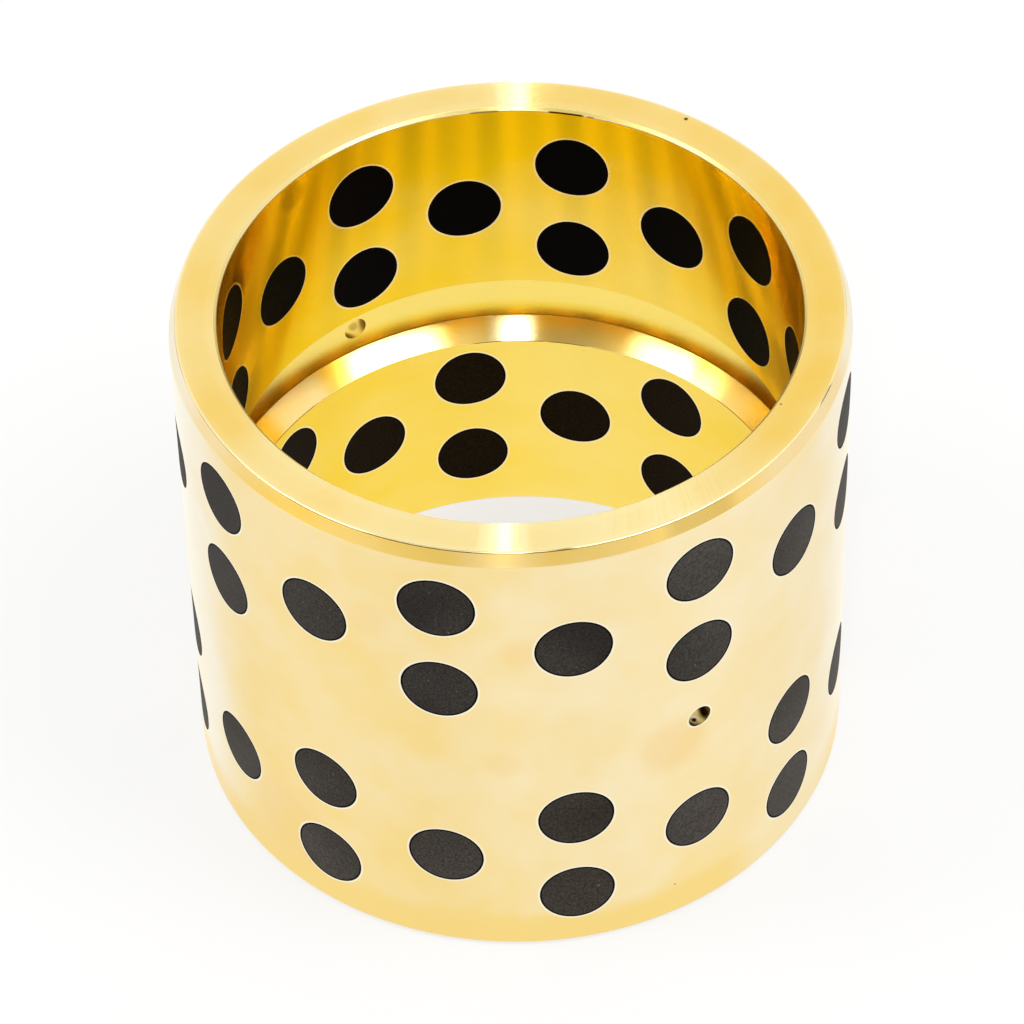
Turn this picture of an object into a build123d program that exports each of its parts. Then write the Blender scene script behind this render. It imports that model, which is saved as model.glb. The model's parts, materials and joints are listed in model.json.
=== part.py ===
from build123d import *

import math
import os

# Self-lubricating plain bushing, in millimetres and degrees.
# The bore axis is +Z and the origin is the centre of the base.
# An azimuth of 0 points along -Y, and grows towards +X.

# Sleeve, turned from one bronze casting.
bore_diameter = 90.0
wall_thickness = 7.5
length = 90.0
lead_in_length = 2.5  # outer taper at the top, along the axis
lead_in_depth = 1.1  # the same taper, across the wall
base_chamfer = 0.7  # outer edge of the base, at 45 degrees
bore_chamfer = 0.5  # both mouths of the bore, at 45 degrees

# Ring groove that spreads grease half-way up the bore.
groove_mouth_width = 14.0
groove_flank_angle = 30.0  # each flank, from the radial direction
groove_web = 3.5  # bronze left outside the groove's floor

# Radial holes that feed the groove, the first at azimuth 0.
grease_hole_diameter = 4.0
grease_hole_count = 2

# Graphite plugs, staggered in bands above and below the groove.
plug_diameter = 12.0
plug_columns = 16
row_spacing = 9.0  # wanted distance from one row of plugs to the next
end_land = 6.0  # plain wall between an end face and the nearest plugs
groove_land = 2.0  # plain wall between the groove's mouth and the nearest plugs
glue_gap = 0.05  # around each plug, filled by its bonding film

# A cutter reaches this far past the faces that it breaks through.
cutter_overrun = 1.0

bore_radius = bore_diameter / 2
outer_radius = bore_radius + wall_thickness
middle_height = length / 2
column_angle = 360.0 / plug_columns


def sleeve_section():
    """Half section of the sleeve in the XZ plane, with the groove in its bore."""
    floor_radius = outer_radius - groove_web
    flank_rise = (floor_radius - bore_radius) * math.tan(math.radians(groove_flank_angle))
    groove_bottom = middle_height - groove_mouth_width / 2
    groove_top = middle_height + groove_mouth_width / 2
    return make_face(
        Polyline(
            (bore_radius + bore_chamfer, 0, 0),
            (outer_radius - base_chamfer, 0, 0),
            (outer_radius, 0, base_chamfer),
            (outer_radius, 0, length - lead_in_length),
            (outer_radius - lead_in_depth, 0, length),
            (bore_radius + bore_chamfer, 0, length),
            (bore_radius, 0, length - bore_chamfer),
            (bore_radius, 0, groove_top),
            (floor_radius, 0, groove_top - flank_rise),
            (floor_radius, 0, groove_bottom + flank_rise),
            (bore_radius, 0, groove_bottom),
            (bore_radius, 0, bore_chamfer),
            close=True,
        )
    )


def radial_rod(diameter, azimuth, height):
    """Round rod across the wall, at one azimuth and height, longer than the wall is thick."""
    rod = Cylinder(diameter / 2, wall_thickness + 2 * cutter_overrun)
    across_the_wall = Pos(0, -(bore_radius + outer_radius) / 2, height) * Rot(90, 0, 0)
    return Rot(0, 0, azimuth) * across_the_wall * rod


def row_heights():
    """Heights of the plug rows from the top down: a band above the groove, its mirror below."""
    nearest = groove_mouth_width / 2 + groove_land + plug_diameter / 2
    farthest = middle_height - end_land - plug_diameter / 2
    steps = max(1, round((farthest - nearest) / row_spacing))
    offsets = [farthest + (nearest - farthest) * step / steps for step in range(steps + 1)]
    upper_band = [middle_height + offset for offset in offsets]
    lower_band = [middle_height - offset for offset in reversed(offsets)]
    return upper_band + lower_band


def plug_places():
    """Node name, azimuth and height of each plug: every second place of the rows and columns."""
    places = []
    for column in range(plug_columns):
        for row, height in enumerate(row_heights()):
            if (row + column) % 2 == 0:
                name = f"graphite_plug_c{column + 1:02d}_r{row + 1}"
                places.append((name, column * column_angle, height))
    return places


def sleeve():
    """The turned sleeve with its plug holes and grease holes."""
    # The seam of the turned faces lies half-way between two columns of plugs.
    blank = Rot(0, 0, column_angle / 2) * revolve(sleeve_section(), Axis.Z)
    plug_holes = [
        radial_rod(plug_diameter, azimuth, height)
        for _, azimuth, height in plug_places()
    ]
    grease_holes = [
        radial_rod(grease_hole_diameter, hole * 360.0 / grease_hole_count, middle_height)
        for hole in range(grease_hole_count)
    ]
    return blank - (plug_holes + grease_holes)


def graphite_plug(azimuth, height):
    """One plug, with ends turned flush with the sleeve's bore and outside."""
    rod = radial_rod(plug_diameter - 2 * glue_gap, azimuth, height)
    tube = Cylinder(outer_radius, length) - Cylinder(bore_radius, length)
    return rod & (Pos(0, 0, middle_height) * tube)


os.makedirs("parts", exist_ok=True)
export_step(sleeve(), "parts/bronze_sleeve.step")
for name, azimuth, height in plug_places():
    export_step(graphite_plug(azimuth, height), f"parts/{name}.step")
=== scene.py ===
import json
import math

import bpy
from mathutils import Matrix, Vector


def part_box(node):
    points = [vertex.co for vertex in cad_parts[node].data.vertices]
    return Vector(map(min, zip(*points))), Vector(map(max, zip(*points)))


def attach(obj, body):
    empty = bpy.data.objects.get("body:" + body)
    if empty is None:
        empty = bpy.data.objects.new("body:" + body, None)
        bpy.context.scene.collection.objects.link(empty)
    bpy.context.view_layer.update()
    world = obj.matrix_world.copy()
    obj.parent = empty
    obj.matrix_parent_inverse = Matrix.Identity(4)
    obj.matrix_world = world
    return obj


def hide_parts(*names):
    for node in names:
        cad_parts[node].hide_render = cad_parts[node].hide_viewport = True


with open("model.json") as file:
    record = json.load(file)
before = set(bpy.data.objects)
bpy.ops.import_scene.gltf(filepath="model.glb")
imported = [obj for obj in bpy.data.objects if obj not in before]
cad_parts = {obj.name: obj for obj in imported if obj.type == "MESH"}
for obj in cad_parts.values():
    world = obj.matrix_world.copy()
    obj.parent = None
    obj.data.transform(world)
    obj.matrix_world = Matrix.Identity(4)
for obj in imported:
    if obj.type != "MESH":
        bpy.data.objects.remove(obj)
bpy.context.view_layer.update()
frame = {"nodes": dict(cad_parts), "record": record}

# Lengths are in metres. An azimuth round the bore's axis is 0 along -Y and grows towards +X, as
# in the frame.
MM = 0.001
BODY = "root"

# ---------------------------------------------------------------- sizes
mounts = {mount["name"]: mount for mount in frame["record"]["mounts"]}
sleeve_low, sleeve_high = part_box("bronze_sleeve")
plug_names = sorted(name for name in frame["nodes"] if name.startswith("graphite_plug"))

outer_radius = sleeve_high.x
bore_radius = mounts["bore"]["dims"]["r_mm"] * MM
length = sleeve_high.z
middle_height = length / 2

# Section of the sleeve between the faces that the frame gives.
bore_chamfer = (length - mounts["bore"]["dims"]["length_mm"] * MM) / 2
base_chamfer = 0.7 * MM
lead_in_length = 2.5 * MM
lead_in_depth = 1.1 * MM
groove_half_mouth = 7.0 * MM
groove_floor_radius = 49.0 * MM
groove_flank_angle = math.radians(30)
groove_flank_rise = (groove_floor_radius - bore_radius) * math.tan(groove_flank_angle)
grease_hole_radius = 2.0 * MM
grease_hole_columns = (0, 8)
grease_cell_half_height = 6.0 * MM
plug_gap = 0.05 * MM

# Radii that the lathe tool leaves at the corners of the section.
crisp_edge = 0.06 * MM
lower_lip_edge = 0.10 * MM
worn_edge = 0.14 * MM
lead_in_edge = 0.30 * MM
mouth_edge = 0.40 * MM
soft_edge = 1.50 * MM
inner_corner = 0.30 * MM

# How far the groove's lower flank bulges.
flank_crown = 0.05 * MM

# A narrow ring round each plug hole, coloured pale as a painted highlight.
halo_width = 0.30 * MM

# The fine scallops that the tool cuts in the end faces, and their slope at the crests.
scallop_pitch = 0.30 * MM
scallop_slope = math.radians(14)

# Mesh density. BAND_ROWS and END_ROWS are the rows in a long and in a short stretch of a wall.
# A cell is the part of a wall round one hole. An easing over 1 crowds its rings near the hole.
COLUMNS = 16
COLUMN_STEPS = 18
AROUND = COLUMNS * COLUMN_STEPS
BAND_ROWS = 8
END_ROWS = 2
ROUNDING_STEPS = 3
TAPER_ROWS = 2
UPPER_FLANK_ROWS = 4
LOWER_FLANK_ROWS = 6
GREASE_HOLE_ROWS = 4
CELL_RINGS = 5
CELL_EASING = 1.4
CELL_CORNER = math.atan2(-BAND_ROWS, -COLUMN_STEPS / 2)

# The finish of the ring round a hole, by the finish of its wall. Round the plugs it is a painted
# highlight.
RIM_FINISHES = {"outside": "outside_rim_highlight", "bore": "bore_rim_highlight", "groove": "groove"}

# Points that are nearer than this are one.
WELD = 1e-7


def plug_place(name):
    """Column and height of a plug, read from its node's box, whose facets are a little off round."""
    low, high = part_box(name)
    middle = (low + high) / 2
    azimuth = math.atan2(middle.x, -middle.y)
    column = round(azimuth / math.tau * COLUMNS) % COLUMNS
    return column, round(middle.z / MM, 1) * MM


plugs = [plug_place(name) for name in plug_names]
plug_low, plug_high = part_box(plug_names[0])
plug_hole_radius = round((plug_high.z - plug_low.z) / 2 / MM, 2) * MM + plug_gap
plug_heights = sorted({height for _, height in plugs})
row_spacing = min(b - a for a, b in zip(plug_heights, plug_heights[1:]))


# ----------------------------------------------------------------- mesh
class Skin:
    """A closed skin of quads that share vertices, with an exact normal at each corner."""

    def __init__(self):
        self.index = {}
        self.points = []
        self.faces = []
        self.normals = []
        self.finishes = []

    def vertex(self, point):
        key = tuple(round(value / WELD) for value in point)
        if key not in self.index:
            self.index[key] = len(self.points)
            self.points.append(point)
        return self.index[key]

    def quad(self, corners, finish):
        """Four (point, normal) corners; the side that the normals point to becomes the front."""
        points = [point for point, _ in corners]
        facing = (points[2] - points[0]).cross(points[3] - points[1])
        if facing.dot(corners[0][1]) < 0:
            corners = corners[::-1]
        self.faces.append([self.vertex(point) for point, _ in corners])
        self.normals.extend(normal for _, normal in corners)
        self.finishes.append(finish)

    def mesh(self, name, finish_order):
        mesh = bpy.data.meshes.new(name)
        mesh.from_pydata(self.points, [], self.faces)
        mesh.shade_smooth()
        for polygon, finish in zip(mesh.polygons, self.finishes):
            polygon.material_index = finish_order.index(finish)
        mesh.normals_split_custom_set(self.normals)
        return mesh


def around(azimuth, radius, height):
    return Vector((radius * math.sin(azimuth), -radius * math.cos(azimuth), height))


def step_azimuth(step):
    return math.tau * (step % AROUND) / AROUND


def turned(point, step):
    """A (radius, height, normal's radius, normal's height) profile point, swung round to a step."""
    radius, height, out, rise = point
    azimuth = step_azimuth(step)
    return around(azimuth, radius, height), around(azimuth, out, rise)


def turn(skin, profile, finish):
    """Surface of revolution through a profile, where a point given twice is a sharp crest."""
    for first, second in zip(profile, profile[1:]):
        if first[:2] == second[:2]:
            continue
        for step in range(AROUND):
            skin.quad(
                [
                    turned(first, step),
                    turned(first, step + 1),
                    turned(second, step + 1),
                    turned(second, step),
                ],
                finish,
            )


def unit(vector):
    size = math.hypot(*vector)
    return vector[0] / size, vector[1] / size


def rounding(before, corner, after, radius):
    """Arc of profile points that rounds a corner of the section, which runs anticlockwise."""
    into = unit((corner[0] - before[0], corner[1] - before[1]))
    out = unit((after[0] - corner[0], after[1] - corner[1]))
    turning = math.atan2(into[0] * out[1] - into[1] * out[0], into[0] * out[0] + into[1] * out[1])
    side = 1 if turning > 0 else -1
    reach = radius * math.tan(abs(turning) / 2)
    start = (corner[0] - into[0] * reach, corner[1] - into[1] * reach)
    normal = (into[1], -into[0])
    centre = (start[0] - side * radius * normal[0], start[1] - side * radius * normal[1])
    arc = []
    for step in range(ROUNDING_STEPS + 1):
        angle = turning * step / ROUNDING_STEPS
        nr = normal[0] * math.cos(angle) - normal[1] * math.sin(angle)
        nz = normal[0] * math.sin(angle) + normal[1] * math.cos(angle)
        arc.append((centre[0] + side * radius * nr, centre[1] + side * radius * nz, nr, nz))
    return arc


def straight(first, last, rows=1):
    """Profile points along a straight run, which takes its normal from its first point."""
    points = []
    for row in range(rows + 1):
        share = row / rows
        radius = first[0] + (last[0] - first[0]) * share
        height = first[1] + (last[1] - first[1]) * share
        points.append((radius, height, first[2], first[3]))
    return points


def crowned(first, last, rows, crown):
    """The same for a run that bulges a little, so that its normal turns from end to end."""
    across = math.hypot(last[0] - first[0], last[1] - first[1])
    swing = math.atan2(4 * crown, across) * 2
    points = []
    for row, (radius, height, out, rise) in enumerate(straight(first, last, rows)):
        share = row / rows
        lift = 4 * crown * share * (1 - share)
        angle = swing * (0.5 - share)
        nr = out * math.cos(angle) + rise * math.sin(angle)
        nz = rise * math.cos(angle) - out * math.sin(angle)
        points.append((radius + out * lift, height + rise * lift, nr, nz))
    return points


def scalloped(first, last):
    """Profile points along a straight run with the shallow scallops that a round-nosed tool cuts."""
    across = math.hypot(last[0] - first[0], last[1] - first[1])
    count = round(across / scallop_pitch)
    # A parabola is a quarter as deep as it is wide, times its slope at the crests.
    depth = across / count * math.tan(scallop_slope) / 4
    points = []
    for row, (radius, height, out, rise) in enumerate(straight(first, last, 2 * count)):
        if row % 2 == 1:
            points.append((radius - out * depth, height - rise * depth, out, rise))
            continue
        # A crest ends one scallop and starts the next, each with its own normal.
        for angle in (-scallop_slope, scallop_slope):
            nr = out * math.cos(angle) - rise * math.sin(angle)
            nz = rise * math.cos(angle) + out * math.sin(angle)
            points.append((radius, height, nr, nz))
    return points[1:-1]


def rows_between(low, high, breaks):
    """Heights of the rows of a wall, with a row at each break and a set number between them."""
    inside = [height for height in breaks if low + WELD < height < high - WELD]
    stops = [low] + inside + [high]
    heights = [low]
    for start, end in zip(stops, stops[1:]):
        count = BAND_ROWS if end - start > row_spacing / 2 else END_ROWS
        heights += [start + (end - start) * (row + 1) / count for row in range(count)]
    return heights


def rim(column, height, hole_radius, wall_radius, count):
    """Azimuth and height of the points round a radial hole's mouth in a wall."""
    centre = math.tau * column / COLUMNS
    points = []
    for number in range(count):
        angle = CELL_CORNER + math.tau * number / count
        across = hole_radius * math.cos(angle)
        points.append((centre + math.asin(across / wall_radius), height + hole_radius * math.sin(angle)))
    return points


def cell_border(column, heights):
    """Step and height of the points along the edge of the cell round a hole."""
    first = column * COLUMN_STEPS - COLUMN_STEPS // 2
    last = first + COLUMN_STEPS
    bottom = [(step, heights[0]) for step in range(first, last)]
    right = [(last, height) for height in heights[:-1]]
    top = [(step, heights[-1]) for step in range(last, first, -1)]
    left = [(first, height) for height in heights[:0:-1]]
    return bottom + right + top + left


def on_wall(azimuth, height, radius, side):
    return around(azimuth, radius, height), around(azimuth, side, 0)


def cell_rings(column, heights, radius, side, hole_height, hole_radius):
    """Rings of points from a hole's rim, over the narrow ring round it, out to the edge of its cell."""
    border = cell_border(column, heights)
    mouth = rim(column, hole_height, hole_radius, radius, len(border))
    halo_ring = rim(column, hole_height, hole_radius + halo_width, radius, len(border))
    rings = [[on_wall(azimuth, height, radius, side) for azimuth, height in mouth]]
    for ring in range(CELL_RINGS):
        share = (ring / CELL_RINGS) ** CELL_EASING
        line = []
        for (azimuth, height), (step, edge_height) in zip(halo_ring, border):
            swung = azimuth + (math.tau * step / AROUND - azimuth) * share
            raised = height + (edge_height - height) * share
            line.append(on_wall(swung, raised, radius, side))
        rings.append(line)
    rings.append([on_wall(step_azimuth(step), height, radius, side) for step, height in border])
    return rings


def pierced_cell(skin, rings, finish):
    """Part of a wall with a round hole, whose innermost ring has the finish of a rim."""
    count = len(rings[0])
    for inner, outer in zip(rings, rings[1:]):
        ring_finish = RIM_FINISHES[finish] if inner is rings[0] else finish
        for number in range(count):
            following = (number + 1) % count
            skin.quad([inner[number], inner[following], outer[following], outer[number]], ring_finish)


def plain_row(skin, column, low, high, radius, side, finish):
    """One column's share of a row of a wall, with no hole in it."""
    for step in range(COLUMN_STEPS):
        left = step_azimuth(column * COLUMN_STEPS - COLUMN_STEPS // 2 + step)
        right = step_azimuth(column * COLUMN_STEPS - COLUMN_STEPS // 2 + step + 1)
        places = ((left, low), (right, low), (right, high), (left, high))
        skin.quad([on_wall(azimuth, height, radius, side) for azimuth, height in places], finish)


def wall(skin, radius, side, low, high, breaks, holes, finish):
    """
    Cylindrical wall with radial holes, facing out (side 1) or in (side -1).
    Returns the number of points round each hole's rim, by its column and height in mm.
    """
    heights = rows_between(low, high, breaks)
    rim_counts = {}
    for column in range(COLUMNS):
        pierced_rows = set()
        for hole_column, hole_height, hole_radius, half_cell in holes:
            if hole_column != column or not low < hole_height < high:
                continue
            near = [height for height in heights if abs(height - hole_height) < half_cell + WELD]
            rings = cell_rings(column, near, radius, side, hole_height, hole_radius)
            pierced_cell(skin, rings, finish)
            first = heights.index(near[0])
            pierced_rows.update(range(first, first + len(near) - 1))
            rim_counts[(column, round(hole_height / MM))] = len(rings[0])
        for row in range(len(heights) - 1):
            if row not in pierced_rows:
                plain_row(skin, column, heights[row], heights[row + 1], radius, side, finish)
    return rim_counts


def hole_wall(skin, column, height, hole_radius, inside, count, rows):
    """Wall of a radial hole, from its mouth in the outside to the one at an inner radius."""
    outer = rim(column, height, hole_radius, outer_radius, count)
    inner = rim(column, height, hole_radius, inside, count)
    sideways = math.tau * column / COLUMNS + math.pi / 2
    lines = []
    for number in range(count):
        angle = CELL_CORNER + math.tau * number / count
        normal = around(sideways, -math.cos(angle), -math.sin(angle))
        start = around(outer[number][0], outer_radius, outer[number][1])
        end = around(inner[number][0], inside, inner[number][1])
        lines.append([(start.lerp(end, row / rows), normal) for row in range(rows + 1)])
    for number in range(count):
        this, following = lines[number], lines[(number + 1) % count]
        for row in range(rows):
            skin.quad([this[row], following[row], following[row + 1], this[row + 1]], "hole")


def section_arcs():
    """The rounded corners of the sleeve's half section, by name, anticlockwise from the base."""
    groove_top = middle_height + groove_half_mouth
    groove_bottom = middle_height - groove_half_mouth
    corners = {
        "base_inner": (bore_radius + bore_chamfer, 0, crisp_edge),
        "base_outer": (outer_radius - base_chamfer, 0, worn_edge),
        "chamfer_top": (outer_radius, base_chamfer, worn_edge),
        "taper_bottom": (outer_radius, length - lead_in_length, soft_edge),
        "taper_top": (outer_radius - lead_in_depth, length, lead_in_edge),
        "face_inner": (bore_radius + bore_chamfer, length, crisp_edge),
        "mouth": (bore_radius, length - bore_chamfer, mouth_edge),
        "upper_lip": (bore_radius, groove_top, crisp_edge),
        "floor_top": (groove_floor_radius, groove_top - groove_flank_rise, inner_corner),
        "floor_bottom": (groove_floor_radius, groove_bottom + groove_flank_rise, inner_corner),
        "lower_lip": (bore_radius, groove_bottom, lower_lip_edge),
        "base_mouth": (bore_radius, bore_chamfer, crisp_edge),
    }
    places = list(corners.values())
    arcs = {}
    for number, (name, corner) in enumerate(corners.items()):
        following = places[(number + 1) % len(places)]
        arcs[name] = rounding(places[number - 1], corner, following, corner[2])
    return arcs


ARC_FINISHES = {
    "taper_bottom": "outside",
    "taper_top": "outer_lip",
    "face_inner": "inner_lip",
    "mouth": "mouth_lip",
    "lower_lip": "flank_lip",
    # The groove's two inner corners carry painted shade.
    "floor_top": "crease_shade",
    "floor_bottom": "crease_shade",
    "base_inner": "edge",
    "base_outer": "edge",
    "chamfer_top": "edge",
    "upper_lip": "edge",
    "base_mouth": "edge",
}


def sleeve_skin():
    """The sleeve's whole surface, built from its half section."""
    skin = Skin()
    arcs = section_arcs()
    for name, finish in ARC_FINISHES.items():
        turn(skin, arcs[name], finish)
    turn(skin, scalloped(arcs["base_inner"][-1], arcs["base_outer"][0]), "face")
    turn(skin, straight(arcs["base_outer"][-1], arcs["chamfer_top"][0]), "taper")
    turn(skin, straight(arcs["taper_bottom"][-1], arcs["taper_top"][0], TAPER_ROWS), "taper")
    turn(skin, scalloped(arcs["taper_top"][-1], arcs["face_inner"][0]), "face")
    turn(skin, straight(arcs["face_inner"][-1], arcs["mouth"][0]), "chamfer")
    upper_flank = straight(arcs["upper_lip"][-1], arcs["floor_top"][0], UPPER_FLANK_ROWS)
    turn(skin, upper_flank, "flank")
    lower_ends = (arcs["floor_bottom"][-1], arcs["lower_lip"][0])
    turn(skin, crowned(*lower_ends, LOWER_FLANK_ROWS, flank_crown), "flank")
    turn(skin, straight(arcs["base_mouth"][-1], arcs["base_inner"][0]), "chamfer")
    add_walls(skin, {name: (arc[0][1], arc[-1][1]) for name, arc in arcs.items()})
    return skin


def add_walls(skin, ends):
    """The sleeve's walls and the holes through them. ends are the heights where each arc ends."""
    plug_holes = [(column, height, plug_hole_radius, row_spacing) for column, height in plugs]
    grease_holes = [
        (column, middle_height, grease_hole_radius, grease_cell_half_height)
        for column in grease_hole_columns
    ]
    holes = plug_holes + grease_holes
    shifts = (-row_spacing, 0, row_spacing)
    breaks = sorted(
        {round((height + shift) / MM, 1) * MM for height in plug_heights for shift in shifts}
    )
    outside_ends = (ends["chamfer_top"][1], ends["taper_bottom"][0])
    rims = wall(skin, outer_radius, 1, *outside_ends, breaks, holes, "outside")
    wall(skin, bore_radius, -1, ends["upper_lip"][0], ends["mouth"][1], breaks, holes, "bore")
    wall(skin, bore_radius, -1, ends["base_mouth"][0], ends["lower_lip"][1], breaks, holes, "bore")
    floor_ends = (ends["floor_bottom"][0], ends["floor_top"][1])
    wall(skin, groove_floor_radius, -1, *floor_ends, [], holes, "groove")
    for column, height, radius, _ in plug_holes:
        count = rims[(column, round(height / MM))]
        hole_wall(skin, column, height, radius, bore_radius, count, 1)
    for column, height, radius, _ in grease_holes:
        count = rims[(column, round(height / MM))]
        hole_wall(skin, column, height, radius, groove_floor_radius, count, GREASE_HOLE_ROWS)


# ------------------------------------------------------------ materials
# The azimuth that the photograph was taken from, in degrees. Patches, stained and shaded places,
# brown streaks of painted shade and the plugs' paler sides are counted from it, because they were
# matched to the photo's tones. They are fixed on the object. One photo can't tell patina from
# light, and many of them are painted light and shade.
photo_azimuth = -31.4726


def new_material(name):
    material = bpy.data.materials.new(name)
    material.use_nodes = True
    return material, material.node_tree.nodes, material.node_tree.links


class Nodes:
    """Short calls that add shader nodes to one material and join them up."""

    def __init__(self, name):
        self.material, self.nodes, self.links = new_material(name)
        self.shader = self.nodes["Principled BSDF"]
        coordinates = self.nodes.new("ShaderNodeTexCoord")
        self.place = coordinates.outputs["Object"]
        self.share_of_box = coordinates.outputs["Generated"]
        self.x, self.y, self.z = self.xyz(self.place)
        self.radius = self.hypotenuse(self.x, self.y)

    def join(self, value, socket):
        """Feeds a socket from another, or sets it to a plain value."""
        if isinstance(value, bpy.types.NodeSocket):
            self.links.new(value, socket)
        else:
            socket.default_value = value

    def math(self, operation, *values):
        node = self.nodes.new("ShaderNodeMath")
        node.operation = operation
        for value, socket in zip(values, node.inputs):
            self.join(value, socket)
        return node.outputs[0]

    def vector_math(self, operation, *values):
        node = self.nodes.new("ShaderNodeVectorMath")
        node.operation = operation
        for value, socket in zip(values, node.inputs):
            self.join(value, socket)
        return node.outputs["Value" if operation in ("DISTANCE", "DOT_PRODUCT") else "Vector"]

    def hypotenuse(self, across, up):
        squares = [self.math("MULTIPLY", value, value) for value in (across, up)]
        return self.math("SQRT", self.math("ADD", *squares))

    def xyz(self, vector):
        node = self.nodes.new("ShaderNodeSeparateXYZ")
        self.join(vector, node.inputs[0])
        return node.outputs

    def vector(self, x, y, z):
        node = self.nodes.new("ShaderNodeCombineXYZ")
        for value, socket in zip((x, y, z), node.inputs):
            self.join(value, socket)
        return node.outputs[0]

    def azimuth(self):
        """Azimuth of the place on the piece, in radians."""
        return self.math("ARCTAN2", self.x, self.math("MULTIPLY", self.y, -1))

    def scaled(self, x, y, z):
        """The place on the piece, in metres, times a number along each axis."""
        return self.vector_math("MULTIPLY", self.place, (x, y, z))

    def noise(self, vector, detail=2.0, roughness=0.5, distortion=0.0):
        node = self.nodes.new("ShaderNodeTexNoise")
        self.join(vector, node.inputs["Vector"])
        node.inputs["Scale"].default_value = 1
        node.inputs["Detail"].default_value = detail
        node.inputs["Roughness"].default_value = roughness
        node.inputs["Distortion"].default_value = distortion
        return node.outputs["Fac"]

    def remap(self, value, low, high, new_low, new_high):
        """A smooth step from new_low, where the value is low, to new_high, where it is high."""
        node = self.nodes.new("ShaderNodeMapRange")
        node.interpolation_type = "SMOOTHSTEP"
        self.join(value, node.inputs["Value"])
        for name, number in (
            ("From Min", low), ("From Max", high), ("To Min", new_low), ("To Max", new_high),
        ):
            node.inputs[name].default_value = number
        return node.outputs["Result"]

    def total(self, values):
        result = values[0]
        for value in values[1:]:
            result = self.math("ADD", result, value)
        return result

    def clamp(self, value):
        clamped = self.math("ADD", value, 0)
        clamped.node.use_clamp = True
        return clamped

    def blend(self, share, first, second):
        """Mix of two colours."""
        node = self.nodes.new("ShaderNodeMix")
        node.data_type = "RGBA"
        self.join(share, node.inputs["Factor"])
        for colour, socket in ((first, node.inputs["A"]), (second, node.inputs["B"])):
            colour = colour if isinstance(colour, bpy.types.NodeSocket) else (*colour, 1)
            self.join(colour, socket)
        return node.outputs["Result"]

    def bump(self, height, depth):
        node = self.nodes.new("ShaderNodeBump")
        node.inputs["Distance"].default_value = depth
        self.join(height, node.inputs["Height"])
        self.links.new(node.outputs["Normal"], self.shader.inputs["Normal"])

    def near_azimuth(self, azimuth, core, reach, amount):
        """
        An amount that is full within core degrees of an azimuth and fades out at reach degrees.
        The azimuth is counted from the photo's.
        """
        direction = around(math.radians(photo_azimuth + azimuth), 1, 0)
        facing = self.math("DIVIDE", self.vector_math("DOT_PRODUCT", self.place, direction), self.radius)
        return self.remap(facing, math.cos(math.radians(reach)), math.cos(math.radians(core)), 0, amount)


# Noise in the bronze. A spread is the part of a noise's range that is stretched to the full effect.
cloud_spread = (0.32, 0.68)
wisp_spread = (0.30, 0.70)
wisp_fineness = 3
wisp_strength = 0.35
lathe_lines_per_metre = 5200
lathe_breaks_per_metre = 30
lathe_spread = (0.30, 0.70)

# The part of a full turn by which glints are stretched across the lathe's marks.
glint_turn = 0.25

# Chatter of the tool: short ticks across the scallops, with a slant in radians to a metre of
# radius.
ticks_per_radian = 60
tick_slant = 8
tick_spread = (0.35, 0.65)

# Painted shade: flame-shaped brown streaks that come down from the top of the bore, where it
# mirrors dark parts of the room.
flames_per_metre = (150, 150, 14)
flame_distortion = 0.4
flame_spread = (0.38, 0.62)
flame_least = 0.50
flame_heights = (64 * MM, 84 * MM)
flame_low_share = 0.05
shade_brown = (0.34, 0.18, 0.002)
deep_shade_brown = (0.13, 0.06, 0.001)

# The share of a spot's radius that has its full strength.
spot_core = 0.4


def chatter_ticks(nodes, azimuth, core, reach, share):
    slanted = nodes.math("ADD", nodes.azimuth(), nodes.math("MULTIPLY", nodes.radius, tick_slant))
    along = nodes.math("MULTIPLY", slanted, ticks_per_radian)
    ticks = nodes.remap(nodes.noise(nodes.vector(along, 0, 0), detail=1), *tick_spread, -1, 1)
    return nodes.math("MULTIPLY", ticks, nodes.near_azimuth(azimuth, core, reach, share))


# Where the bore gets its flame-shaped streaks of painted shade.
def shade_flames(nodes, shade_flame_patches):
    noise = nodes.noise(nodes.scaled(*flames_per_metre), distortion=flame_distortion)
    flame = nodes.remap(noise, *flame_spread, flame_least, 1)
    near_top = nodes.remap(nodes.z, *flame_heights, flame_low_share, 1)
    beside = nodes.total([nodes.near_azimuth(*patch) for patch in shade_flame_patches])
    return nodes.math("MULTIPLY", nodes.math("MULTIPLY", flame, near_top), beside)


def deep_share(nodes, middle, clouds, blotches, climbs, rings, patches, chatter):
    """How deep the bronze's colour is, from 0 where it is pale to 1."""
    cloud_noise = nodes.noise(nodes.scaled(*blotches))
    wisps_per_metre = [wisp_fineness * count for count in blotches]
    wisp_noise = nodes.noise(nodes.scaled(*wisps_per_metre), roughness=0.6)
    wisp_share = clouds * wisp_strength
    shares = [
        nodes.remap(cloud_noise, *cloud_spread, middle - clouds, middle + clouds),
        nodes.remap(wisp_noise, *wisp_spread, -wisp_share, wisp_share),
    ]
    for measure, runs in ((nodes.z, climbs), (nodes.radius, rings)):
        for low, high, low_share, high_share in runs:
            shares.append(nodes.remap(measure, low * MM, high * MM, low_share, high_share))
    shares += [nodes.near_azimuth(*patch) for patch in patches]
    if chatter:
        shares.append(chatter_ticks(nodes, *chatter))
    return nodes.clamp(nodes.total(shares))


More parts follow.
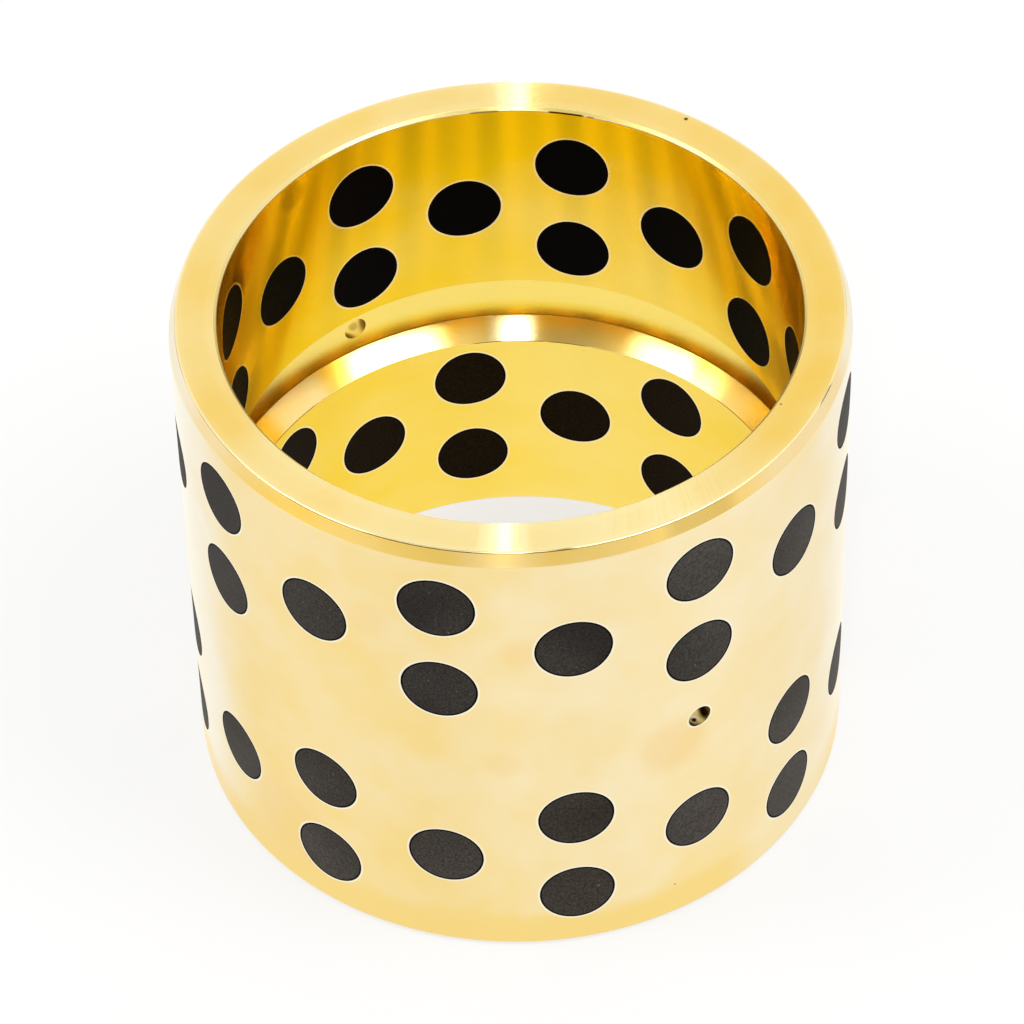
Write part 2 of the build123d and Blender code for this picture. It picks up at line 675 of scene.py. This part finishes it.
def add_tarnish_and_shade(nodes, colour, shade_flame_patches, bands, stains_and_shade, spots):
    """The colour with what lies over it: painted shade in streaks and in bands by height, stained and
    shaded places by azimuth, and spots, some of them painted shade.
    """
    if shade_flame_patches:
        colour = nodes.blend(shade_flames(nodes, shade_flame_patches), colour, shade_brown)
    for full, gone, strength, tint in bands:
        colour = nodes.blend(nodes.remap(nodes.z, full * MM, gone * MM, strength, 0), colour, tint)
    for azimuth, core, reach, strength, tint in stains_and_shade:
        colour = nodes.blend(nodes.near_azimuth(azimuth, core, reach, strength), colour, tint)
    for place, reach, tint, strength in spots:
        distance = nodes.vector_math("DISTANCE", nodes.place, place)
        share = nodes.remap(distance, reach * spot_core, reach, strength, 0)
        colour = nodes.blend(share, colour, tint)
    return colour


def add_lathe_marks(nodes, roughness, wear, marks):
    """Roughness and bump in rings round the axis: fine along the section, long round it."""
    along = nodes.math("MULTIPLY", nodes.math("ADD", nodes.radius, nodes.z), lathe_lines_per_metre)
    around_x = nodes.math("MULTIPLY", nodes.x, lathe_breaks_per_metre)
    around_y = nodes.math("MULTIPLY", nodes.y, lathe_breaks_per_metre)
    lathe_marks = nodes.noise(nodes.vector(around_x, around_y, along), detail=3)
    limits = (roughness * (1 - wear), roughness * (1 + wear))
    rough = nodes.remap(lathe_marks, *lathe_spread, *limits)
    nodes.join(rough, nodes.shader.inputs["Roughness"])
    if marks:
        nodes.bump(lathe_marks, marks)
    tangent = nodes.nodes.new("ShaderNodeTangent")
    tangent.direction_type = "RADIAL"
    tangent.axis = "Z"
    nodes.links.new(tangent.outputs["Tangent"], nodes.shader.inputs["Tangent"])


def turned_bronze(
    name, pale, deep, roughness, anisotropy,
    middle=0.5, clouds=0.3, blotches=(42, 42, 80), climbs=(), rings=(), patches=(), chatter=(),
    shade_flame_patches=(), bands=(), stains_and_shade=(), spots=(), marks=0.0004 * MM, wear=0.03, grazing=(1, 1, 1),
):
    """
    Turned metal whose colour lies between pale and deep, at the share middle, give or take clouds.
    Azimuths, cores and reaches are as near_azimuth takes them.

    blotches: how many clouds there are to a metre along each axis
    climbs: (low mm, high mm, share added at the low end, share added at the high end)
    rings: the same by radius
    patches: (azimuth, core, reach, share added)
    chatter: (azimuth, core, reach, share added or taken by the ticks)
    shade_flame_patches: (azimuth, core, reach, strength of the flames)
    bands: (height in mm of full strength, height in mm where it is gone, strength, colour)
    stains_and_shade: (azimuth, core, reach, strength, colour)
    spots: (place, radius, colour, strength)
    marks: depth of the lathe's marks
    wear: how much the roughness varies from one mark to the next
    grazing: tint of what is mirrored at a grazing angle
    """
    nodes = Nodes("bronze_" + name)
    share = deep_share(nodes, middle, clouds, blotches, climbs, rings, patches, chatter)
    colour = add_tarnish_and_shade(nodes, nodes.blend(share, pale, deep), shade_flame_patches, bands, stains_and_shade, spots)
    nodes.join(colour, nodes.shader.inputs["Base Color"])
    nodes.shader.inputs["Metallic"].default_value = 1
    nodes.shader.inputs["Specular Tint"].default_value = (*grazing, 1)
    nodes.shader.inputs["Anisotropic"].default_value = anisotropy
    nodes.shader.inputs["Anisotropic Rotation"].default_value = glint_turn
    add_lathe_marks(nodes, roughness, wear, marks)
    return nodes.material


# Graphite. The outer ends are dry, with dust on them, and the inner ends near black. Each pair
# holds the colours of the grain's dark and light specks. bore_shading is the two heights between
# which the inner ends turn from the low pair to the high one.
dry_graphite = ((0.044, 0.038, 0.033), (0.080, 0.071, 0.062))
low_bore_graphite = ((0.006, 0.003, 0.0008), (0.018, 0.012, 0.004))
high_bore_graphite = ((0.0003, 0.0001, 0.0001), (0.0012, 0.0005, 0.0003))
fleck_grey = (0.12, 0.10, 0.08)
bond_black = (0.004, 0.0015, 0.0003)
grains_per_metre = 2600
grain_spread = (0.3, 0.7)
grain_depth = 0.006 * MM
graphite_roughness = (0.42, 0.60)
graphite_specular = 0.02
end_depth = 2 * MM
bore_shading = (30 * MM, 55 * MM)
flecks_per_metre = 1500
fleck_threshold = (0.74, 0.80)

# Dust on the outer ends: its clouds and the rise towards the base, and two sides where the ends
# are paler.
dust_clouds_per_metre = 40
dust_cloud_spread = (0.35, 0.65)
dust_cloud_shares = (0.32, 0.60)
pale_side_patches = ((58, 20, 45, 0.42), (-65, 10, 40, 0.20))
dust_at_base = (8 * MM, 32 * MM, 0.30, 0)

# How far in from a plug's edge the dark line of bonding starts, and where it is full.
bond_line = (0.32 * MM, 0.20 * MM)


def from_plug_axis(nodes):
    """How far a point on a plug is from the plug's own axis."""
    spacing = math.tau / COLUMNS
    # A full turn is added because the modulo needs a positive number.
    shifted = nodes.math("ADD", nodes.azimuth(), math.tau + spacing / 2)
    swing = nodes.math("SUBTRACT", nodes.math("MODULO", shifted, spacing), spacing / 2)
    across = nodes.math("MULTIPLY", nodes.radius, nodes.math("SINE", swing))
    up = nodes.math("SUBTRACT", nodes.xyz(nodes.share_of_box)[2], 0.5)
    up = nodes.math("MULTIPLY", up, plug_high.z - plug_low.z)
    return nodes.hypotenuse(across, up)


def dust_and_pale_sides(nodes):
    """How much dust the outer end of a plug has, and how much paler it is at two sides."""
    clouds = nodes.noise(nodes.scaled(*3 * [dust_clouds_per_metre]))
    shares = [nodes.remap(clouds, *dust_cloud_spread, *dust_cloud_shares)]
    shares += [nodes.near_azimuth(*patch) for patch in pale_side_patches]
    shares.append(nodes.remap(nodes.z, *dust_at_base))
    return nodes.total(shares)


def graphite():
    nodes = Nodes("graphite")
    grain = nodes.noise(nodes.scaled(*3 * [grains_per_metre]))
    body = nodes.remap(grain, *grain_spread, 0, 1)
    outer_end = nodes.remap(nodes.radius, bore_radius + end_depth, outer_radius - end_depth, 0, 1)
    low_bore = nodes.blend(body, *low_bore_graphite)
    high_bore = nodes.blend(body, *high_bore_graphite)
    worn = nodes.blend(nodes.remap(nodes.z, *bore_shading, 0, 1), low_bore, high_bore)
    dust_and_pale_share = nodes.math("MULTIPLY", outer_end, dust_and_pale_sides(nodes))
    colour = nodes.blend(dust_and_pale_share, worn, nodes.blend(body, *dry_graphite))
    fleck_noise = nodes.noise(nodes.scaled(*3 * [flecks_per_metre]), detail=1)
    flecks = nodes.math("MULTIPLY", nodes.remap(fleck_noise, *fleck_threshold, 0, 1), outer_end)
    colour = nodes.blend(flecks, colour, fleck_grey)
    bond_start, bond_end = (plug_hole_radius - plug_gap - inset for inset in bond_line)
    bond = nodes.remap(from_plug_axis(nodes), bond_start, bond_end, 0, 1)
    nodes.join(nodes.blend(bond, colour, bond_black), nodes.shader.inputs["Base Color"])
    rough = nodes.remap(grain, *grain_spread, *graphite_roughness)
    nodes.join(rough, nodes.shader.inputs["Roughness"])
    nodes.shader.inputs["Specular IOR Level"].default_value = graphite_specular
    nodes.bump(grain, grain_depth)
    return nodes.material


# ------------------------------------------------------------ finishes
# Height of the painted shade at the groove's two sides.
groove_shade_height = 36 * MM


def on_face(azimuth, radius_mm):
    """A place on the top face. Its azimuth is in degrees in the frame, as on_outside's is."""
    return around(math.radians(azimuth), radius_mm * MM, length)


def on_outside(azimuth, height_mm):
    return around(math.radians(azimuth), outer_radius, height_mm * MM)


def on_bore(azimuth, height_mm):
    """A place in the bore. Its azimuth is counted from the photo's, as groove_side's is."""
    return around(math.radians(photo_azimuth + azimuth), bore_radius, height_mm * MM)


def groove_side(azimuth):
    """A place a little below the groove."""
    return around(math.radians(photo_azimuth + azimuth), groove_floor_radius, groove_shade_height)


def in_hole(across_mm, out_mm, height_mm):
    """A place in the grease hole on -Y, or in the one on +Y where out_mm is positive."""
    return Vector((across_mm, out_mm, height_mm)) * MM


dark_pit = (0.05, 0.03, 0.01)
rust_brown = (0.35, 0.16, 0.05)
rust_red = (0.40, 0.20, 0.13)
amber = (0.93, 0.62, 0.20)
pale_bronze = (1.0, 0.90, 0.62)
dull_bronze = (0.45, 0.28, 0.04)
bright_burr = (0.95, 0.90, 0.68)
crescent_shade_brown = (0.20, 0.12, 0.02)
lip_shade = (0.10, 0.055, 0.008)
hole_dark_brown = (0.030, 0.013, 0.005)
khaki = (0.80, 0.69, 0.32)

FACE_SPOTS = [
    (on_face(113.9, 50.4), 0.45 * MM, dark_pit, 0.95),
    (on_face(29.5, 46.05), 0.28 * MM, rust_brown, 0.8),
    (on_face(136.3, 47.5), 1.3 * MM, amber, 0.25),
]
OUTSIDE_SPOTS = [
    (on_outside(-4.7, 7.2), 0.30 * MM, rust_brown, 0.6),
    (on_outside(-5.0, 41.0), 8.0 * MM, amber, 0.40),
    (on_outside(-34.9, 43.5), 4.0 * MM, amber, 0.25),
    (on_outside(-76.0, 14.0), 12.0 * MM, amber, 0.35),
    (on_outside(-57.0, 72.0), 5.0 * MM, amber, 0.25),
    (on_outside(-31.0, 69.0), 5.0 * MM, amber, 0.25),
    (on_outside(24.0, 3.0), 18.0 * MM, pale_bronze, 0.5),
]
# Painted shade: dark brown spots where the bore mirrors dark parts of the room.
BORE_SHADE_SPOTS = [
    (on_bore(252, 81), 5.0 * MM, deep_shade_brown, 0.85),
    (on_bore(229, 86.5), 3.5 * MM, shade_brown, 0.45),
    (on_bore(262, 66), 7.0 * MM, shade_brown, 0.55),
    (on_bore(89, 87), 7.0 * MM, deep_shade_brown, 0.4),
    (on_bore(100, 66), 6.0 * MM, shade_brown, 0.60),
]
# Painted shade: brown at the groove's two sides.
GROOVE_SHADE_SPOTS = [
    (groove_side(118), 16 * MM, shade_brown, 0.75),
    (groove_side(241), 15 * MM, shade_brown, 0.55),
]
# The large dark brown spots on two sides of each hole are painted dark reflections.
HOLE_SPOTS = [
    (in_hole(0, -51, 45), 12.0 * MM, khaki, 1.0),
    (in_hole(1.8, -51.3, 44.1), 1.7 * MM, hole_dark_brown, 1.0),
    (in_hole(1.98, -51.5, 45.2), 0.9 * MM, rust_red, 0.9),
    (in_hole(-1.5, -51.7, 43.8), 1.9 * MM, hole_dark_brown, 0.9),
    (in_hole(-0.2, -51.2, 43.0), 1.1 * MM, bright_burr, 0.8),
    (in_hole(-0.2, -51.2, 43.0), 0.6 * MM, hole_dark_brown, 1.0),
    (in_hole(1.96, 49.6, 45.2), 2.4 * MM, crescent_shade_brown, 0.95),
    (in_hole(-1.48, 49.3, 43.5), 2.0 * MM, crescent_shade_brown, 0.95),
    (in_hole(0.85, 51.2, 43.2), 1.1 * MM, dull_bronze, 0.7),
]

# Each finish of the turned sleeve. The lips are edges whose dark dashes are painted reflections
# of dark parts of the room, but for one short scratch on the outer lip.
# A patch with a negative share is paler. Those at 88 and 90 degrees on the outside and the taper
# lie along the photo's two outlines, and the narrow ones on the face, the taper and the flank lie
# under its glares. They stand for light, which a changed lamp or view doesn't take along.
BRONZE_FINISHES = {
    "outside": dict(
        pale=(1.0, 0.95, 0.80), deep=(0.97, 0.73, 0.27), roughness=0.28, anisotropy=0.9,
        middle=0.71, clouds=0.10, blotches=(65, 65, 65), marks=0, wear=0.005,
        # Painted light and shade: the climbs and the band make the outside deeper gold towards the base,
        # where it mirrors the floor's shade, and the patches paint light and shade.
        climbs=[(2, 9, 0.40, 0), (0, 50, 0.15, -0.02)],
        patches=[(-33, 15, 35, 0.15), (35, 12, 32, -0.09), (-88, 6, 36, -0.65), (88, 6, 31, -0.60)],
        bands=[(3, 9, 0.35, (0.97, 0.68, 0.17))],
        spots=OUTSIDE_SPOTS,
    ),
    # Painted highlight: the pale ring round each plug.
    "outside_rim_highlight": dict(
        pale=(1.0, 0.95, 0.76), deep=(1.0, 0.90, 0.65), roughness=0.28, anisotropy=0.9,
    ),
    "face": dict(
        pale=(0.98, 0.83, 0.42), deep=(0.93, 0.62, 0.12), roughness=0.12, anisotropy=1.0,
        middle=0.85, clouds=0.15,
        # The narrowest ring, at the face's outer edge, is a painted highlight.
        rings=[(46.2, 47.6, -0.12, 0), (49.8, 51.0, 0, -0.12), (50.95, 51.15, 0, -0.3)],
        # Painted light and shade: every patch on the face, the paler ones and the deeper ones at 100 and
        # 255 degrees.
        patches=[
            (5, 20, 52, -0.65), (277, 3, 16, -0.3), (314, 4, 14, -0.4), (165, 10, 30, -0.28),
            (178.4, 1.5, 4, -0.6), (-2.2, 2, 5, -0.75), (215, 30, 50, -0.26), (255, 10, 24, 0.12),
            (100, 15, 30, 0.12),
        ],
        chatter=(28, 9, 15, 0.06),
        spots=FACE_SPOTS,
    ),
    "taper": dict(
        pale=(1.0, 0.90, 0.68), deep=(0.93, 0.62, 0.11), roughness=0.25, anisotropy=1.0,
        middle=0.52, clouds=0.08,
        # Painted light and shade: every patch on the taper.
        patches=[(-4, 40, 56, 0.38), (-3, 3, 9, -0.2), (-88, 8, 26, -0.50), (90, 8, 20, -0.45)],
        stains_and_shade=[(32, 4, 8, 0.5, (0.55, 0.38, 0.10))],
    ),
    "chamfer": dict(
        pale=(1.0, 0.87, 0.46), deep=(1.0, 0.80, 0.23), roughness=0.30, anisotropy=1.0,
        middle=0.75, clouds=0.15,
        # Painted light: the paler patch at 230 degrees.
        patches=[(230, 12, 28, -0.35)],
        stains_and_shade=[(48, 24, 38, 0.4, lip_shade), (-58, 12, 24, 0.3, lip_shade)],
    ),
    "bore": dict(
        pale=(1.0, 0.77, 0.20), deep=(0.98, 0.64, 0.004), roughness=0.19, anisotropy=1.0,
        middle=0.5, clouds=0.12, grazing=(1.0, 0.93, 0.66),
        # Painted light and shade: the bore is paler low down and deeper towards its top, deeper at its
        # sides and at 215 degrees, with streaks of painted shade at its sides.
        climbs=[(38, 52, -0.2, 0.03), (62, 88, 0, 0.42)],
        patches=[(90, 30, 65, 0.2), (270, 30, 65, 0.2), (215, 20, 45, 0.2)],
        shade_flame_patches=[(80, 16, 42, 1), (262, 14, 31, 1), (204, 8, 26, 0.16)],
        spots=BORE_SHADE_SPOTS,
    ),
    # Painted highlight: the pale ring round each plug.
    "bore_rim_highlight": dict(
        pale=(1.0, 0.84, 0.42), deep=(1.0, 0.78, 0.34), roughness=0.22, anisotropy=1.0,
    ),
    "groove": dict(
        pale=(1.0, 0.77, 0.18), deep=(0.52, 0.32, 0.01), roughness=0.14, anisotropy=1.0,
        middle=0.02, clouds=0.02, grazing=(1.0, 0.93, 0.66),
        # Painted shade: deeper gold and then dark brown towards the inner corner at the groove's foot,
        # and brown at its two sides.
        climbs=[(40.4, 42.6, 0.60, 0)],
        bands=[(42.2, 44.5, 0.75, (1.0, 0.70, 0.04))],
        spots=GROOVE_SHADE_SPOTS,
    ),
    "flank": dict(
        pale=(1.0, 0.86, 0.48), deep=(0.97, 0.59, 0.035), roughness=0.20, anisotropy=1.0,
        middle=0.88, clouds=0.1,
        # Painted shade: the lower flank is paler at its foot and deeper towards the inner corner at its
        # top.
        climbs=[(38.2, 40.2, -0.08, 0.12)],
        patches=[
            (229, 4, 9, -0.5), (204, 6, 13, -0.6), (179.5, 3, 6, -0.7), (148, 4, 9, -0.35),
            (131, 3, 8, -0.15),
        ],
    ),
    # Painted shade in the groove's two inner corners.
    "crease_shade": dict(
        pale=(0.45, 0.27, 0.04), deep=(0.30, 0.17, 0.02), roughness=0.35, anisotropy=0.0,
    ),
    "outer_lip": dict(
        pale=(0.98, 0.80, 0.42), deep=(0.08, 0.05, 0.01), roughness=0.30, anisotropy=0.0,
        middle=0.2, clouds=0.15,
        # A painted highlight along the lip's top, and patches of painted dark reflection but for the
        # scratch at 66.5 degrees.
        climbs=[(89.84, 89.97, 0, -0.9)],
        patches=[
            (-14, 6, 14, 1.0), (-33, 6, 12, 0.55), (5.5, 2, 5, 1.0), (22, 12, 18, 0.55),
            (-60, 4, 9, 0.5), (-84, 6, 12, 0.5), (66.5, 1.5, 3.5, 0.9), (92, 4, 8, 0.5),
        ],
    ),
    "inner_lip": dict(
        pale=(0.98, 0.80, 0.42), deep=(0.10, 0.06, 0.01), roughness=0.30, anisotropy=0.0,
        middle=0.0, clouds=0.05,
    ),
    "mouth_lip": dict(
        pale=(1.0, 0.86, 0.46), deep=(0.10, 0.03, 0.001), roughness=0.30, anisotropy=0.0,
        middle=0.0, clouds=0.02,
        # Patches of painted dark reflection.
        patches=[(184.2, 2.3, 3.3, 0.6), (167.6, 3, 4, 1), (162.5, 0.4, 1.0, 0.5)],
        stains_and_shade=[(50, 28, 40, 0.9, lip_shade), (-60, 16, 28, 0.85, lip_shade)],
    ),
    "flank_lip": dict(
        pale=(0.98, 0.78, 0.30), deep=(0.05, 0.03, 0.005), roughness=0.30, anisotropy=0.0,
        middle=0.1, clouds=0.1,
        # Patches of painted dark reflection.
        patches=[(185, 2, 4, 1), (175, 1, 3, 1), (168, 3, 5, 1), (233, 6, 8, 1), (126, 5, 7, 1)],
    ),
    "edge": dict(
        pale=(0.97, 0.76, 0.32), deep=(0.95, 0.70, 0.22), roughness=0.25, anisotropy=0.0,
    ),
    "hole": dict(
        pale=(0.97, 0.72, 0.16), deep=(0.93, 0.64, 0.10), roughness=0.30, anisotropy=0.0,
        spots=HOLE_SPOTS,
    ),
}

# --------------------------------------------------------------- pieces
sleeve_mesh = sleeve_skin().mesh("turned_sleeve", list(BRONZE_FINISHES))
for finish, look in BRONZE_FINISHES.items():
    sleeve_mesh.materials.append(turned_bronze(finish, **look))
sleeve = bpy.data.objects.new("turned_sleeve", sleeve_mesh)
bpy.context.scene.collection.objects.link(sleeve)
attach(sleeve, BODY)
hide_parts("bronze_sleeve")

plug_material = graphite()
for name in plug_names:
    node = frame["nodes"][name]
    node.data.materials.clear()
    node.data.materials.append(plug_material)

# ---------------------------------------------------------------- stage
# The camera, at the photo's azimuth: its other angles in degrees, its lens and sensor in mm, and
# its distance from what it looks at, which is a little to the side of the bore's axis.
camera_elevation = 46.6365
camera_tilt = -1.565
camera_distance = 848.16 * MM
camera_lens = 187.18
camera_sensor = 36
camera_clip = (0.01, 50)
target_side_shift = -0.569 * MM
target_height = 44.32 * MM

# The room's dim parts: azimuth from the photo's, elevation, core, reach and strength there.
dim_opening = (-25, 72, 7, 19, 0.30)
dim_horizon = (10, 3, 25, 60, 0.75)

# The floor lies just under the base. It shows some white of its own to the camera, so that it
# looks white but keeps the object's shadow.
floor_reach = 3.0
floor_drop = 0.02 * MM
floor_grey = 0.7
floor_white_seen = 0.70

lamp_distance = 1.2


def photo_side(azimuth_offset, elevation, distance):
    """A place round the object, by azimuth from the photo's, elevation and distance."""
    azimuth = math.radians(photo_azimuth + azimuth_offset)
    tilt = math.radians(elevation)
    return around(azimuth, distance * math.cos(tilt), distance * math.sin(tilt))


def add_camera():
    azimuth = math.radians(photo_azimuth)
    sideways = Vector((math.cos(azimuth), math.sin(azimuth), 0))
    raised = Vector((0, 0, target_height))
    place = photo_side(0, camera_elevation, camera_distance) + raised
    view = (sideways * target_side_shift + raised - place).normalized()
    right = view.cross(Vector((0, 0, 1))).normalized()
    up = right.cross(view)
    tilt = math.radians(camera_tilt)
    across = right * math.cos(tilt) + up * math.sin(tilt)
    upright = up * math.cos(tilt) - right * math.sin(tilt)
    camera = bpy.data.objects.new("camera", bpy.data.cameras.new("camera"))
    camera.data.sensor_width = camera_sensor
    camera.data.lens = camera_lens
    camera.data.clip_start, camera.data.clip_end = camera_clip
    rotation = Matrix((across, upright, -view)).transposed()
    camera.matrix_world = Matrix.Translation(place) @ rotation.to_4x4()
    bpy.context.scene.collection.objects.link(camera)
    bpy.context.scene.camera = camera


def add_softbox(name, azimuth_offset, elevation, size, radiance, roll=0):
    """
    Area lamp that faces the object, by azimuth from the photo's, elevation, width and height, and
    radiance. Its roll is in degrees about its own axis.
    """
    data = bpy.data.lights.new(name, "AREA")
    data.shape = "RECTANGLE"
    data.size, data.size_y = size
    data.energy = radiance * size[0] * size[1] * math.pi
    lamp = bpy.data.objects.new(name, data)
    lamp.location = photo_side(azimuth_offset, elevation, lamp_distance)
    aim = Vector((0, 0, middle_height)) - lamp.location
    turn_in_plane = Matrix.Rotation(math.radians(roll), 3, "Z").to_quaternion()
    lamp.rotation_euler = (aim.to_track_quat("-Z", "Y") @ turn_in_plane).to_euler()
    bpy.context.scene.collection.objects.link(lamp)


def dimming(nodes, links, direction, azimuth, elevation, core, reach, strength):
    """Share of the room's light that is left near one direction, as a node's output."""
    facing = nodes.new("ShaderNodeVectorMath")
    facing.operation = "DOT_PRODUCT"
    facing.inputs[1].default_value = photo_side(azimuth, elevation, 1)
    links.new(direction, facing.inputs[0])
    fade = nodes.new("ShaderNodeMapRange")
    fade.interpolation_type = "SMOOTHSTEP"
    fade.inputs["From Min"].default_value = math.cos(math.radians(reach))
    fade.inputs["From Max"].default_value = math.cos(math.radians(core))
    fade.inputs["To Min"].default_value = 1
    fade.inputs["To Max"].default_value = strength
    links.new(facing.outputs["Value"], fade.inputs["Value"])
    return fade.outputs["Result"]


def add_world():
    """An even white room, seen as plain white, with two dimmer parts on the camera's side."""
    world = bpy.data.worlds.new("studio")
    world.use_nodes = True
    nodes, links = world.node_tree.nodes, world.node_tree.links
    room = nodes["Background"]
    room.inputs["Color"].default_value = (1, 1, 1, 1)
    direction = nodes.new("ShaderNodeTexCoord").outputs["Generated"]
    both = nodes.new("ShaderNodeMath")
    both.operation = "MULTIPLY"
    links.new(dimming(nodes, links, direction, *dim_opening), both.inputs[0])
    links.new(dimming(nodes, links, direction, *dim_horizon), both.inputs[1])
    links.new(both.outputs[0], room.inputs["Strength"])
    seen = nodes.new("ShaderNodeBackground")
    seen.inputs["Strength"].default_value = 1
    seen.inputs["Color"].default_value = (1, 1, 1, 1)
    path = nodes.new("ShaderNodeLightPath")
    mix = nodes.new("ShaderNodeMixShader")
    links.new(path.outputs["Is Camera Ray"], mix.inputs["Fac"])
    links.new(room.outputs[0], mix.inputs[1])
    links.new(seen.outputs[0], mix.inputs[2])
    links.new(mix.outputs[0], nodes["World Output"].inputs["Surface"])
    bpy.context.scene.world = world


def floor_material():
    """A pale floor that is plain white in the metal's reflections and partly so to the camera."""
    material, nodes, links = new_material("white_sweep")
    nodes.remove(nodes["Principled BSDF"])
    diffuse = nodes.new("ShaderNodeBsdfDiffuse")
    diffuse.inputs["Color"].default_value = (floor_grey, floor_grey, floor_grey, 1)
    glow = nodes.new("ShaderNodeEmission")
    glow.inputs["Color"].default_value = (1, 1, 1, 1)
    glow.inputs["Strength"].default_value = 1
    path = nodes.new("ShaderNodeLightPath")
    seen_share = nodes.new("ShaderNodeMath")
    seen_share.operation = "MULTIPLY"
    seen_share.inputs[1].default_value = floor_white_seen
    links.new(path.outputs["Is Camera Ray"], seen_share.inputs[0])
    either = nodes.new("ShaderNodeMath")
    either.operation = "MAXIMUM"
    links.new(seen_share.outputs[0], either.inputs[0])
    links.new(path.outputs["Is Glossy Ray"], either.inputs[1])
    mix = nodes.new("ShaderNodeMixShader")
    links.new(either.outputs[0], mix.inputs["Fac"])
    links.new(diffuse.outputs[0], mix.inputs[1])
    links.new(glow.outputs[0], mix.inputs[2])
    links.new(mix.outputs[0], nodes["Material Output"].inputs["Surface"])
    return material


def add_floor():
    sides = ((-1, -1), (1, -1), (1, 1), (-1, 1))
    corners = [(floor_reach * x, floor_reach * y, 0) for x, y in sides]
    mesh = bpy.data.meshes.new("floor")
    mesh.from_pydata(corners, [], [(0, 1, 2, 3)])
    mesh.materials.append(floor_material())
    floor = bpy.data.objects.new("floor", mesh)
    floor.location.z = -floor_drop
    bpy.context.scene.collection.objects.link(floor)


add_camera()
add_world()
add_floor()
add_softbox("left_softbox", -86, 58, (0.30, 0.45), 6.5)
add_softbox("right_softbox", 68.6, 63, (0.38, 0.50), 7.5, roll=-12)
add_softbox("strip", -3.2, 71, (0.095, 0.40), 9.0)
add_softbox("lamp_bar", -5, 52, (0.045, 0.33), 30.0)
add_softbox("overhead_bar", 181.65, 68, (0.012, 0.34), 7.5, roll=-2)

bpy.context.scene.view_settings.view_transform = "Standard"
